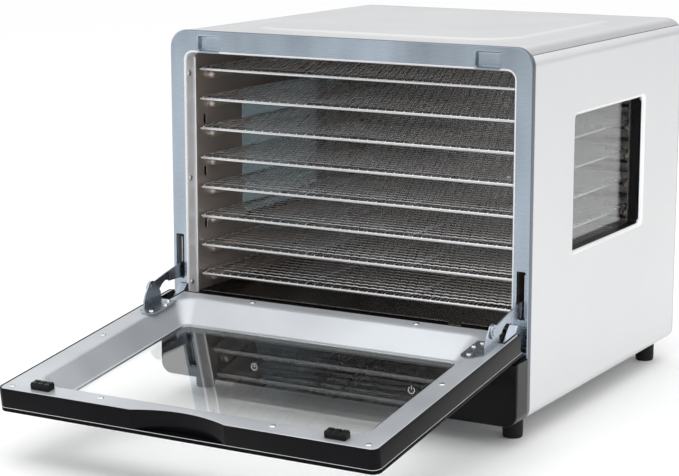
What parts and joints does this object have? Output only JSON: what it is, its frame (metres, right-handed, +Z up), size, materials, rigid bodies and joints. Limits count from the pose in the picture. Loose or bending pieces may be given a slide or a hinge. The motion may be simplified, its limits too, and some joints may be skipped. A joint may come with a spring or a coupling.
{
  "type": "food dehydrator",
  "caption": "Front-loading food dehydrator: steel cabinet with side windows, wire trays on ribs, drop-down glazed door on riveted arms, touch panel below, rear fan and heater.",
  "frame": {"origin": "centre of the four feet at the height of the worktop", "axes": "+X to the right seen from the front, +Y from the door towards the rear panel, +Z up; the door is open at rest"},
  "size_m": [0.4, 0.6763, 0.3758],
  "materials": {
    "skin_top": "brushed",
    "skin_side": "satin near-white",
    "steel_frame": "brushed",
    "steel_liner": "bright annealed",
    "steel_rear": "satin",
    "black_plastic": "satin",
    "black_gloss": "gloss",
    "dark_gray": "satin",
    "clear_glass": "clear",
    "door_glass": "clear with black printed border",
    "rubber": "matt",
    "wire": "polished wire",
    "pcb": "board",
    "motor": "satin",
    "door_steel": "satin",
    "hardware": "zinc plated",
    "heater": "heat-tinted sheath"
  },
  "bodies": {
    "cabinet": {"top_cover": "skin_top", "left_side_panel": "skin_side", "right_side_panel": "skin_side", "base_plate": "steel_rear", "rear_panel": "steel_rear", "front_frame": "steel_frame", "left_liner_wall": "steel_liner", "right_liner_wall": "steel_liner", "liner_ceiling": "steel_liner", "liner_floor": "steel_liner", "rear_baffle": "steel_liner", "left_window_frame": "black_plastic", "right_window_frame": "black_plastic", "left_window_glass": "clear_glass", "right_window_glass": "clear_glass", "control_housing": "dark_gray", "control_face": "black_gloss", "control_board": "pcb", "fan_motor": "motor", "heating_element": "heater", "power_inlet": "black_plastic", "rubber_feet": "rubber", "foot_screws": "hardware", "liner_screws": "hardware", "rear_screws": "hardware", "hinge_lugs": "hardware", "arm_guides": "hardware", "floor_pan": "steel_liner"},
    "door": {"door_outer_glass": "door_glass", "door_frame": "black_gloss", "door_inner_panel": "door_steel", "left_door_latch": "black_plastic", "right_door_latch": "black_plastic", "door_panel_screws": "hardware", "left_door_bracket": "hardware", "right_door_bracket": "hardware", "bracket_rivets": "hardware", "door_pivot_pins": "hardware"},
    "left_arm": {"left_hinge_arm": "hardware"},
    "right_arm": {"right_hinge_arm": "hardware"},
    "fan": {"fan_rotor": "hardware"},
    "tray_1": {"tray_frame_1": "wire", "tray_mesh_1": "wire"},
    "tray_2": {"tray_frame_2": "wire", "tray_mesh_2": "wire"},
    "tray_3": {"tray_frame_3": "wire", "tray_mesh_3": "wire"},
    "tray_4": {"tray_frame_4": "wire", "tray_mesh_4": "wire"},
    "tray_5": {"tray_frame_5": "wire", "tray_mesh_5": "wire"},
    "tray_6": {"tray_frame_6": "wire", "tray_mesh_6": "wire"},
    "tray_7": {"tray_frame_7": "wire", "tray_mesh_7": "wire"},
    "tray_8": {"tray_frame_8": "wire", "tray_mesh_8": "wire"}
  },
  "joints": [
    {"name": "door_hinge", "type": "hinge", "parent": "cabinet", "child": "door", "pos_m": [0, -0.206, 0.0975], "axis": [-1, 0, 0], "range_deg": [0, 98]},
    {"name": "left_arm_pivot", "type": "hinge", "parent": "door", "child": "left_arm", "pos_m": [-0.19, -0.24699, 0.12042], "axis": [1, 0, 0], "range_deg": [0, 98]},
    {"name": "right_arm_pivot", "type": "hinge", "parent": "door", "child": "right_arm", "pos_m": [0.19, -0.24699, 0.12042], "axis": [1, 0, 0], "range_deg": [0, 98]},
    {"name": "fan_spin", "type": "hinge", "parent": "cabinet", "child": "fan", "pos_m": [0, 0.1566, 0.226], "axis": [0, 1, 0], "continuous": true},
    {"name": "tray_slide_1", "type": "slide", "parent": "cabinet", "child": "tray_1", "axis": [0, 1, 0], "range_m": [-0.28, 0]},
    {"name": "tray_slide_2", "type": "slide", "parent": "cabinet", "child": "tray_2", "axis": [0, 1, 0], "range_m": [-0.28, 0]},
    {"name": "tray_slide_3", "type": "slide", "parent": "cabinet", "child": "tray_3", "axis": [0, 1, 0], "range_m": [-0.28, 0]},
    {"name": "tray_slide_4", "type": "slide", "parent": "cabinet", "child": "tray_4", "axis": [0, 1, 0], "range_m": [-0.28, 0]},
    {"name": "tray_slide_5", "type": "slide", "parent": "cabinet", "child": "tray_5", "axis": [0, 1, 0], "range_m": [-0.28, 0]},
    {"name": "tray_slide_6", "type": "slide", "parent": "cabinet", "child": "tray_6", "axis": [0, 1, 0], "range_m": [-0.28, 0]},
    {"name": "tray_slide_7", "type": "slide", "parent": "cabinet", "child": "tray_7", "axis": [0, 1, 0], "range_m": [-0.28, 0]},
    {"name": "tray_slide_8", "type": "slide", "parent": "cabinet", "child": "tray_8", "axis": [0, 1, 0], "range_m": [-0.28, 0]}
  ],
  "couplings": [
    {"joint": "left_arm_pivot", "follows": "door_hinge", "ratio": 1},
    {"joint": "right_arm_pivot", "follows": "door_hinge", "ratio": 1}
  ]
}
